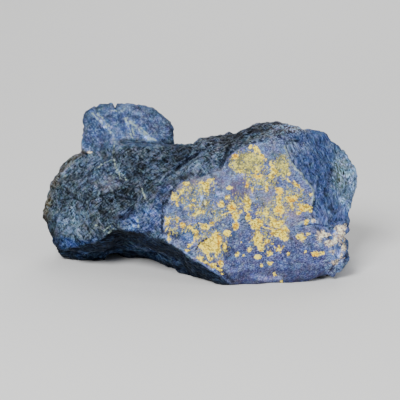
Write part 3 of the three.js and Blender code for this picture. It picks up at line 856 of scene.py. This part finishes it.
# %% Keep the patches
LIMIT = 3.0  # distances beyond this, in mm, are cut off
PATCH_SHRINK = 0.1
PATCH_OVERHANG = 0.2
VEIL_FADE = (-1.5, 2.5)
VEIL_EDGE = (0.2, 1.5)
WELL_INSIDE, WELL_FACING = 2, 0.9
OFF_PLATE = (3, 5)  # the patches end between these distances from the plane of the plate, in mm


def deepest(places, ovals):
    """How far inside the nearest of some ovals each place is, in millimetres."""
    return np.max([oval_inside_by(places, *oval) for oval in ovals], axis=0)


def keep_distance(name, distance, apart):
    """Keep a distance on the stone, made less by what sets a point apart from the front."""
    store(stone, name, np.clip(distance + apart, -LIMIT, LIMIT))


patch = np.maximum(np.maximum(deepest(places, PATCHES), deepest_stroke(places, STREAKS)),
                   inside_by(places, BIG_PATCH))
patch = np.minimum(patch, -deepest(places, BLUE_HOLES))
on_plate = inside_by(places, PLATE)
patch = np.minimum(patch - PATCH_SHRINK, on_plate + PATCH_OVERHANG)
veil = np.max([full * ramp(oval_inside_by(places, *oval), *VEIL_FADE) for full, *oval in VEILS], axis=0)
veil *= ramp(on_plate, *VEIL_EDGE)
well_inside = (on_plate > WELL_INSIDE) & (facing > WELL_FACING)
plate_normal = normals_of(stone)[well_inside].mean(axis=0)
plate_normal /= np.linalg.norm(plate_normal)
off_plate = np.abs((points - np.median(points[well_inside], axis=0)) @ plate_normal) / MM
turned_away = -LIMIT * (1 - facing)
away = turned_away - ramp(off_plate, *OFF_PLATE) * LIMIT * 2
veil *= 1 - ramp(off_plate, *OFF_PLATE)
keep_distance("patch", patch, away)
keep_distance("crust", deepest(places, CRUSTS), turned_away)
keep_distance("orange", deepest(places, ORANGE), away)
keep_distance("plate", on_plate, away)
store(stone, "veil", veil * facing)
print("plate faces:", plate_normal.round(3).tolist())

# %% [markdown]
# ## Veins and glints
#
# A few thin pale veins cross the knob and run down the slope. The short pale lines on the underside
# ridge are painted glints, and the line along the plate's right edge is a painted highlight on its rim.
# All are drawn as lines, and the points of the mesh keep the distance to the nearest. Threads laid on
# the stone would be easy to see and to change, but they would stand out from it, and a real vein is
# flush with the rock.

# %% Veins and glints
VEINS_AND_GLINTS = [  # half width in mm, then the points of the line
    (0.17, (91, 112), (98, 119), (107, 127.5), (112.5, 135)), (0.05, (96, 112), (104, 120), (110, 127)),
    (0.05, (112.5, 135), (114.8, 140), (113.6, 150), (114.2, 158)),
    (0.1, (113.8, 158), (115.2, 165), (117, 170), (119.5, 174.2), (119.8, 178.7)),
    (0.06, (121, 173.5), (124, 176.5), (127.6, 181.5)), (0.06, (142, 189), (144, 195), (145, 199)),
    (0.12, (125.4, 118.4), (128, 125), (130.4, 133), (132, 137.4)),
    (0.05, (127.5, 117), (131, 125), (134, 136)),
    (0.16, (129.3, 120.8), (138.2, 128.6), (147, 137.4), (156, 140.8)),
    (0.05, (133, 121), (142, 129), (150, 137)), (0.08, (112, 110.5), (122, 111)),
    # Painted highlight: the pale line along the rim of the plate's right edge.
    (0.2, (284.3, 146), (287.9, 154.5), (291.5, 163), (295.8, 168.8), (302.2, 174.7), (304, 179.7),
        (308.6, 183.7), (313.3, 189.5), (313.7, 197.4), (311.8, 204)),
    # The short lines near the underside ridge, at columns 88 to 139, are painted glints.
    (0.05, (280, 226), (290, 226), (304, 222)), (0.08, (104, 231), (111, 225)),
    (0.05, (108, 233), (113, 229)), (0.08, (137, 219), (139, 228)), (0.05, (134, 226), (133, 231)),
    (0.05, (90, 233), (97, 224)), (0.02, (95, 170), (104, 163), (112, 160)),
    (0.05, (208, 214), (220, 222), (230, 230)), (0.05, (196, 216), (206, 208), (204, 200)),
]
VEIN_PATCHES = [(150.5, 139.4, 4, 1.3), (88, 108, 2, 1.5), (106, 127, 2, 1.2, -45)]
MOST_INSIDE = 1

# The lines kept here hold the veins together with the painted glints and the rim highlight.
vein = np.maximum(deepest_stroke(places, VEINS_AND_GLINTS), deepest(places, VEIN_PATCHES))
# The crack distance also masks the painted shade laid into the cracks.
for name, distance in (("vein", vein), ("crack", deepest_stroke(places, CRACKS))):
    store(stone, name, np.clip(distance + turned_away, -LIMIT, MOST_INSIDE))
for name in ("wing", "under", "knob"):
    store(stone, name + "_area", masks[name])
print("veins:", len(VEINS_AND_GLINTS))

# %% [markdown]
# ## Painted shade in hollows and painted highlight on ridges
#
# Hollows get painted shade and ridges get a painted highlight. A copy of the stone is smoothed, and
# each point keeps how far it stands above the smooth copy. The material darkens the tones below it
# and lightens them above it. The Pointiness of the Geometry node shows the same, but it sees only the
# nearest points, and this reaches a millimetre or two.

# %% Standing out
SMOOTH_COPY_ROUNDS = 12
STANDING_SCALE = 0.25 * MM
MOST_STANDING = 1.5

choose(stone)
bpy.ops.object.duplicate()
smooth_copy = bpy.context.object
smooth(smooth_copy, SMOOTH_COPY_ROUNDS)
standing = np.sum((points - points_of(smooth_copy)) * normals_of(smooth_copy), axis=1)
bpy.ops.object.delete()
store(stone, "standing", np.clip(standing / STANDING_SCALE, -MOST_STANDING, MOST_STANDING))
print("standing out, mm:", round(float(np.abs(standing).mean()) / MM, 3))

# %% [markdown]
# ## Node helpers
#
# Effects that are used again and again are shader node groups with named sockets. All of them read
# object coordinates, so a pattern is fixed to the stone. The helpers here only make nodes shorter to
# write: most add one node or two, and give back the socket to go on from.

# %% Node helpers
def join(tree, value, socket):
    """Connect a socket, or set it."""
    if isinstance(value, bpy.types.NodeSocket):
        tree.links.new(value, socket)
    else:
        socket.default_value = value


def node(tree, kind, wires=None, **settings):
    """Add a node, set its properties, and set or connect its inputs."""
    made = tree.nodes.new("ShaderNode" + kind)
    for key, value in settings.items():
        setattr(made, key, value)
    for key, value in (wires or {}).items():
        join(tree, value, made.inputs[key])
    return made


def maths(tree, operation, first, second=0.0, third=0.0, clamp=False):
    made = node(tree, "Math", {0: first, 1: second, 2: third}, operation=operation, use_clamp=clamp)
    return made.outputs[0]


def centred(tree, value, strength):
    """How far a value is above its middle, 0.5, times a strength."""
    return maths(tree, "MULTIPLY", maths(tree, "SUBTRACT", value, 0.5), strength)


print("helpers for nodes and numbers are ready")

# %% Helpers for vectors, noise and colours
def vectors(tree, operation, first, second):
    return node(tree, "VectorMath", {0: first, 1: second}, operation=operation).outputs[0]


def cloudy(tree, place, scale, detail, roughness=0.5):
    """A noise, with its value as Fac and three more as Color."""
    wires = {"Vector": place, "Scale": scale, "Detail": detail, "Roughness": roughness}
    return node(tree, "TexNoise", wires).outputs


def channels(tree, colour):
    return node(tree, "SeparateColor", {"Color": colour}).outputs


def remap(tree, value, from_low, from_high, to_low=0.0, to_high=1.0):
    sockets = {"Value": value, "From Min": from_low, "From Max": from_high, "To Min": to_low,
               "To Max": to_high}
    return node(tree, "MapRange", sockets, clamp=True).outputs["Result"]


def blend(tree, share, first, second, kind="MIX"):
    """Mix two colours."""
    wires = {0: share, 6: first, 7: second}
    return node(tree, "Mix", wires, data_type="RGBA", blend_type=kind).outputs[2]


print("helpers for vectors, noise and colours are ready")

# %% Group helpers
def new_group(name, inputs, outputs):
    """A node group; inputs are (name, kind, default) and outputs are (name, kind)."""
    tree = bpy.data.node_groups.new(name, "ShaderNodeTree")
    for label, kind, default in inputs:
        socket = tree.interface.new_socket(label, in_out="INPUT", socket_type="NodeSocket" + kind)
        if default is not None:
            socket.default_value = default
    for label, kind in outputs:
        tree.interface.new_socket(label, in_out="OUTPUT", socket_type="NodeSocket" + kind)
    return tree, tree.nodes.new("NodeGroupInput").outputs, tree.nodes.new("NodeGroupOutput").inputs


def use_group(tree, name, wires):
    """Place a group; the outputs of all the groups here have one socket."""
    return node(tree, "Group", wires, node_tree=bpy.data.node_groups[name]).outputs[0]


print("helpers for groups are ready")

# %% [markdown]
# ## Strands
#
# The mineral grew in bundles of thin fibres, which broke off short. A noise that is stretched along
# the fibres gives their soft light and dark, cells along them give the broken ends, and the lines
# where a slower noise crosses its middle give single threads. A wave bends them all a little. Hair
# curves would be true fibres, but far too many of them, and they can't be exported.

# %% Group: strands
WAVE_SCALE, WAVE_REACH = 160.0, 4 * MM
MOTTLE_SCALE = 320.0
THREAD_SCALE, THREAD_THINNESS = 0.5, 18.0
CONTRAST = 0.65  # how strongly the finished level swings between hollow and bright

tree, given, result = new_group(
    "strands",
    [("Place", "Vector", None), ("Turn", "Vector", (0, 0, 0)), ("Size", "Vector", (1, 1, 1)),
     ("Waviness", "Float", 1.0), ("Soft", "Float", 5.0), ("Crisp", "Float", 1.5),
     ("Chop", "Vector", (1, 1, 1)), ("Mottle", "Float", 2.0), ("Threads", "Float", 1.2)],
    [("Level", "Float")],
)
wave = cloudy(tree, given["Place"], WAVE_SCALE, detail=1.0)["Color"]
reach = maths(tree, "MULTIPLY", given["Waviness"], WAVE_REACH)
sideways = vectors(tree, "SUBTRACT", wave, (0.5, 0.5, 0.5))
offset = node(tree, "VectorMath", {0: sideways, "Scale": reach}, operation="SCALE").outputs[0]
bent = vectors(tree, "ADD", given["Place"], offset)
laid = node(tree, "Mapping", {"Vector": bent, "Rotation": given["Turn"], "Scale": given["Size"]},
            vector_type="TEXTURE").outputs[0]
fine = cloudy(tree, laid, 1.0, detail=3.0, roughness=0.65)["Fac"]
chopped = vectors(tree, "MULTIPLY", laid, given["Chop"])
broken_end = node(tree, "TexVoronoi", {"Vector": chopped, "Scale": 1.0}).outputs["Color"]
blotch = cloudy(tree, given["Place"], MOTTLE_SCALE, detail=2.0)["Fac"]
grown = centred(tree, fine, given["Soft"])
for part, strength in ((channels(tree, broken_end)[0], "Crisp"), (blotch, "Mottle")):
    grown = maths(tree, "ADD", grown, centred(tree, part, given[strength]))
lines = channels(tree, cloudy(tree, laid, THREAD_SCALE, detail=1.0)["Color"])
for channel, sign in ((0, 1.0), (1, -1.0)):
    gap = maths(tree, "ABSOLUTE", maths(tree, "SUBTRACT", lines[channel], 0.5))
    thread = maths(tree, "MULTIPLY_ADD", gap, -THREAD_THINNESS, 1.0, clamp=True)
    strength = maths(tree, "MULTIPLY", given["Threads"], sign)
    grown = maths(tree, "ADD", grown, maths(tree, "MULTIPLY", thread, strength))
tree.links.new(maths(tree, "MULTIPLY", grown, CONTRAST), result["Level"])
print("strands:", len(tree.nodes), "nodes")

# %% [markdown]
# ## Ragged edges
#
# Patches, crust and veins end in crumbs, never in a clean line. The group takes how far inside a
# drawing a point is, adds a fine noise to it, and cuts the sum at zero, so that the edge wanders in
# and out. A painted mask could do this too, but only as finely as its pixels.

# %% Group: ragged edge
PER_MM = 1000.0
MOST_RAGGED = 6.0

tree, given, result = new_group(
    "ragged_edge",
    [("Place", "Vector", None), ("Inside", "Float", 0.0), ("Grain", "Float", 1.0),
     ("Raggedness", "Float", 0.5), ("Softness", "Float", 0.15)],
    [("Mask", "Float")],
)
fineness = maths(tree, "DIVIDE", PER_MM, given["Grain"])
nibble = cloudy(tree, given["Place"], fineness, detail=4.0, roughness=0.7)["Fac"]
reach = maths(tree, "MULTIPLY", given["Raggedness"], MOST_RAGGED)
moved = maths(tree, "ADD", given["Inside"], centred(tree, nibble, reach))
mask = maths(tree, "DIVIDE", moved, given["Softness"])
tree.links.new(maths(tree, "ADD", mask, 0.5, clamp=True), result["Mask"])
print("ragged edge:", len(tree.nodes), "nodes")

# %% [markdown]
# ## Hue drift
#
# No two grains of the rock have quite the same blue: some are warmer or cooler, some greener or
# pinker. A fine noise with separate channels multiplies the colour by filters near white. Mixing in
# whole new colours would be simpler, but would lose the tones that the areas already have.

# %% Group: hue drift
HUE_SCALE = 420.0
WARM = (1.3, 1.0, 0.72, 1)
COOL = (0.76, 1.0, 1.3, 1)
GREEN = (0.88, 1.12, 0.9, 1)
PINK = (1.12, 0.88, 1.1, 1)

tree, given, result = new_group(
    "hue_drift",
    [("Place", "Vector", None), ("Colour", "Color", None), ("Warmth", "Float", 1.0),
     ("Greenness", "Float", 1.0)],
    [("Colour", "Color")],
)
parts = channels(tree, cloudy(tree, given["Place"], HUE_SCALE, detail=4.0, roughness=0.75)["Color"])
drifted = given["Colour"]
for channel, strength, ends in ((0, "Warmth", (COOL, WARM)), (1, "Greenness", (PINK, GREEN))):
    share = maths(tree, "ADD", centred(tree, parts[channel], given[strength]), 0.5, clamp=True)
    drifted = blend(tree, 1.0, drifted, blend(tree, share, *ends), "MULTIPLY")
tree.links.new(drifted, result["Colour"])
print("hue drift:", len(tree.nodes), "nodes")

# %% [markdown]
# ## Three tones
#
# A hollow is dark, a fibre that catches the light is pale, and most of the surface lies between. One
# level picks among three colours. A colour ramp would do the same, but its colours can't be sockets,
# and here each area brings its own.

# %% Group: three tones
tree, given, result = new_group(
    "three_tones",
    [("Level", "Float", 0.0), ("Hollow", "Color", None), ("Common", "Color", None),
     ("Bright", "Color", None)],
    [("Colour", "Color")],
)
sunk = maths(tree, "MULTIPLY", given["Level"], -1.0, clamp=True)
raised = maths(tree, "MULTIPLY", given["Level"], 1.0, clamp=True)
darkened = blend(tree, sunk, given["Common"], given["Hollow"])
tree.links.new(blend(tree, raised, darkened, given["Bright"]), result["Colour"])
print("node groups:", len(bpy.data.node_groups))

# %% [markdown]
# ## The stone's material
#
# Two crossing sets of strands cover the slope, one steep set the wing, and two that meet in an arch
# the underside. The plate and the knob are grainy instead, with strands hardly longer than they are
# wide. All of them give one level, below zero in a hollow and above zero on a bright fibre, which
# picks the tone. One material per area would show a line wherever two of them meet.

# %% The material
lazulite = bpy.data.materials.new("broken_lazulite")
lazulite.use_nodes = True
tree = lazulite.node_tree
shader = tree.nodes["Principled BSDF"]
place = node(tree, "TexCoord").outputs["Object"]


def kept(name, output="Fac"):
    """The socket of what is kept at the points under a name."""
    return node(tree, "Attribute", attribute_name=name).outputs[output]


print("material:", lazulite.name)

# %% Material: strands and edges
STRANDS = {  # turn, size in mm, chop, waviness, soft, crisp and threads
    "down_left": (36, (4, 0.85, 0.85), (2.4, 2.2), 0.5, 3.0, 1.8, 0.7),
    "crossing": (-48, (3, 0.8, 0.8), (2.2, 2.0), 0.5, 3.0, 1.8, 0.7),
    "steep": (-76, (3.2, 0.5, 0.5), (1.8, 2.0), 0.8, 5.0, 1.6, 0.9),
    "arched_left": (6, (6, 0.6, 0.6), (2.0, 1.9), 0.7, 6.0, 2.4, 1.5),
    "arched_right": (-31, (6, 0.6, 0.6), (2.0, 1.9), 0.7, 6.0, 2.4, 1.5),
    "grainy": (20, (0.75, 0.58, 0.58), (2.2, 2.2), 0.3, 4.0, 1.6, 0.3),
    "knobby": (-50, (1.3, 0.6, 0.6), (1.8, 2.0), 1.0, 4.5, 1.6, 0.5),
    "fine": (0, (1.2, 1.0, 1.0), (2.2, 2.2), 0.5, 6.0, 3.2, 0.8),
    "speck": (70, (1.0, 0.8, 0.8), (2.4, 2.4), 0.4, 5.5, 2.0, 0.6),
}
EDGES = {  # grain in mm, raggedness and softness
    "plate": (1.5, 0.08, 0.3),
    "orange": (1.2, 0.8, 1.0),
    "patch": (1.2, 0.42, 0.3),
    "crust": (1.3, 0.6, 0.4),
    "vein": (1.4, 0.45, 0.5),
    "crack": (2.0, 0.2, 0.4),
}


def ragged(name, inside):
    """A mask for a drawing, from how far inside it the points are."""
    grain, raggedness, softness = EDGES[name]
    return use_group(tree, "ragged_edge", {
        "Place": place, "Inside": inside, "Grain": grain, "Raggedness": raggedness, "Softness": softness,
    })


levels = {}
for name, (turn, size, chop, waviness, soft, crisp, threads) in STRANDS.items():
    levels[name] = use_group(tree, "strands", {
        "Place": place, "Turn": turned(turn), "Size": [length * MM for length in size],
        "Chop": (chop[0], chop[1], chop[1]), "Waviness": waviness, "Soft": soft, "Crisp": crisp,
        "Threads": threads,
    })
print("sets of strands:", len(levels))

# %% Material: one level over all the areas
ARCH_TOP = (-30 * MM, -8 * MM)  # the fibres turn over between these places, from left to right
KNOBBY_SHARE, GRAINY_SHARE = 0.7, 0.6
# How strongly hollows get painted shade and ridges get a painted highlight.
HOLLOW_SHADE_AND_RIDGE_HIGHLIGHT_SHARE = 0.5


def between(share, first, second):
    """Mix two levels."""
    return node(tree, "Mix", {0: share, 2: first, 3: second}, data_type="FLOAT").outputs[0]


rightward = node(tree, "SeparateXYZ", {"Vector": place}).outputs["X"]
arched = between(remap(tree, rightward, *ARCH_TOP), levels["arched_left"], levels["arched_right"])
level = maths(tree, "ADD", levels["down_left"], levels["crossing"])
level = between(kept("wing_area"), level, levels["steep"])
level = between(kept("under_area"), level, arched)
knob_level = maths(tree, "MULTIPLY_ADD", levels["knobby"], KNOBBY_SHARE,
                   maths(tree, "MULTIPLY", levels["grainy"], GRAINY_SHARE))
level = between(kept("knob_area"), level, knob_level)
level = between(ragged("plate", kept("plate")), level, levels["grainy"])
# Painted shade in the hollows and painted highlight on the ridges, from how far each point stands out.
level = maths(tree, "MULTIPLY_ADD", kept("standing"), HOLLOW_SHADE_AND_RIDGE_HIGHLIGHT_SHARE, level)
print("material nodes so far:", len(tree.nodes))

# %% [markdown]
# ## Stains, veins, glints and crack shade on the stone
#
# The crusts, veins and painted glints lie on top of the blue, so they are mixed over it one after the
# other: veil, patches, pale crust, veins with the glints and the rim highlight, and last the painted
# shade in the cracks. Each has a ragged mask and tones of its own. A second material per patch would
# need the mesh cut along every edge.

# %% Material: blue tones
HUE_CHANGE = 2.4


def toned(level, tones):
    """Colour by level, from three tones or three sockets."""
    wires = {"Level": level}
    for name, tone in zip(("Hollow", "Common", "Bright"), tones):
        wires[name] = tone if isinstance(tone, bpy.types.NodeSocket) else (*tone, 1)
    return use_group(tree, "three_tones", wires)


own_tones = [kept(name, "Color") for name in ("hollow_tone", "common_tone", "bright_tone")]
colour = use_group(tree, "hue_drift", {
    "Place": place, "Colour": toned(level, own_tones), "Warmth": HUE_CHANGE, "Greenness": HUE_CHANGE,
})
print("material nodes so far:", len(tree.nodes))

# %% Material: veil and yellow patches
YELLOW = ((0.31, 0.23, 0.05), (0.88, 0.60, 0.02), (1.0, 0.82, 0.14))
ORANGE_TONES = ((0.48, 0.20, 0.01), (0.82, 0.36, 0.005), (0.95, 0.60, 0.03))
VEIL_TONES = ((0.14, 0.14, 0.07), (0.36, 0.33, 0.08), (0.85, 0.74, 0.12))
YELLOW_CONTRAST = 2.0
ORANGE_SHARE = 0.8
FLUSH_SCALE, FLUSH_RANGE, FLUSH_SHARE = 700.0, (0.56, 0.72), 0.6
CRUMBLING = 0.12
VEIL_GAIN, VEIL_START = 1.75, -0.75
VEIL_SHARPNESS = 2.2
FULL_VEIL, VEIL_SHARE = 0.25, 0.9

strong_level = maths(tree, "MULTIPLY", levels["fine"], YELLOW_CONTRAST)
hearts = maths(tree, "MULTIPLY", ragged("orange", kept("orange")), ORANGE_SHARE)
flush = cloudy(tree, place, FLUSH_SCALE, detail=2.0)["Fac"]
orange_mask = maths(tree, "MAXIMUM", hearts, remap(tree, flush, *FLUSH_RANGE, 0.0, FLUSH_SHARE))
yellow = blend(tree, orange_mask, toned(strong_level, YELLOW), toned(strong_level, ORANGE_TONES))
patch_mask = ragged("patch", maths(tree, "MULTIPLY_ADD", levels["fine"], CRUMBLING, kept("patch")))
veil_level = maths(tree, "MULTIPLY_ADD", kept("veil"), VEIL_GAIN, VEIL_START)
veil_level = maths(tree, "ADD", levels["speck"], veil_level)
veil_mask = maths(tree, "MULTIPLY", veil_level, VEIL_SHARPNESS, clamp=True)
veil_share = remap(tree, kept("veil"), 0.0, FULL_VEIL, 0.0, VEIL_SHARE)
veil_mask = maths(tree, "MULTIPLY", veil_mask, veil_share)
colour = blend(tree, veil_mask, colour, toned(levels["fine"], VEIL_TONES))
colour = blend(tree, patch_mask, colour, yellow)
print("material nodes so far:", len(tree.nodes))

# %% Material: pale crust, veins with glints, and painted shade in cracks
CRUST_LOOKS = ((150, 150, 160), (224, 214, 204), (252, 246, 236))
CRUST_SPECKS = (-1.1, -0.3, 0.5, 1.0)
# Veins are pale rock. The glints and the rim line share this colour as painted highlight.
VEIN_AND_GLINT_LOOK, VEIN_AND_GLINT_SHARE = (216, 224, 220), 0.75
# The near-black in the cracks is painted shade, the shadow inside the grooves.
CRACK_SHADE_COLOUR, CRACK_SHADE_SHARE = (0.004, 0.006, 0.012, 1), 0.65

crust_share = remap(tree, levels["speck"], *CRUST_SPECKS)
crust_mask = maths(tree, "MULTIPLY", ragged("crust", kept("crust")), crust_share)
crust = toned(levels["fine"], [base_colour(look) for look in CRUST_LOOKS])
colour = blend(tree, crust_mask, colour, crust)
vein_and_glint_colour = (*base_colour(VEIN_AND_GLINT_LOOK), 1)
for name, share, over in (("vein", VEIN_AND_GLINT_SHARE, vein_and_glint_colour), ("crack", CRACK_SHADE_SHARE, CRACK_SHADE_COLOUR)):
    mask = maths(tree, "MULTIPLY", ragged(name, kept(name)), share)
    colour = blend(tree, mask, colour, over)
tree.links.new(colour, shader.inputs["Base Color"])
print("material nodes so far:", len(tree.nodes))

# %% [markdown]
# ## Surface
#
# Broken rock is dull, with a faint sheen on its brighter fibres. The level that picks the tones also
# gives a slight bump and the roughness, so that light and colour agree. The real relief is already in
# the mesh, and the bump only carries it on below the size of a face.

# %% Material: surface
GLOSS_LEVEL = 0.12
PATCH_RISE = 0.3
BUMP_STRENGTH, BUMP_DISTANCE = 0.35, 0.12 * MM
ROUGHNESS = (-1.0, 1.5, 0.9, 0.65)  # from the lowest level to the highest, from dull to a sheen

height = maths(tree, "MULTIPLY_ADD", patch_mask, PATCH_RISE, level)
bump = node(tree, "Bump", {"Height": height, "Strength": BUMP_STRENGTH, "Distance": BUMP_DISTANCE})
tree.links.new(bump.outputs["Normal"], shader.inputs["Normal"])
tree.links.new(remap(tree, level, *ROUGHNESS), shader.inputs["Roughness"])
shader.inputs["Specular IOR Level"].default_value = GLOSS_LEVEL
stone.data.materials.append(lazulite)
print("material nodes:", len(tree.nodes))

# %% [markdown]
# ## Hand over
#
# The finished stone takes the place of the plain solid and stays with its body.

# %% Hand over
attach(stone, "root")
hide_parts(SOLID)
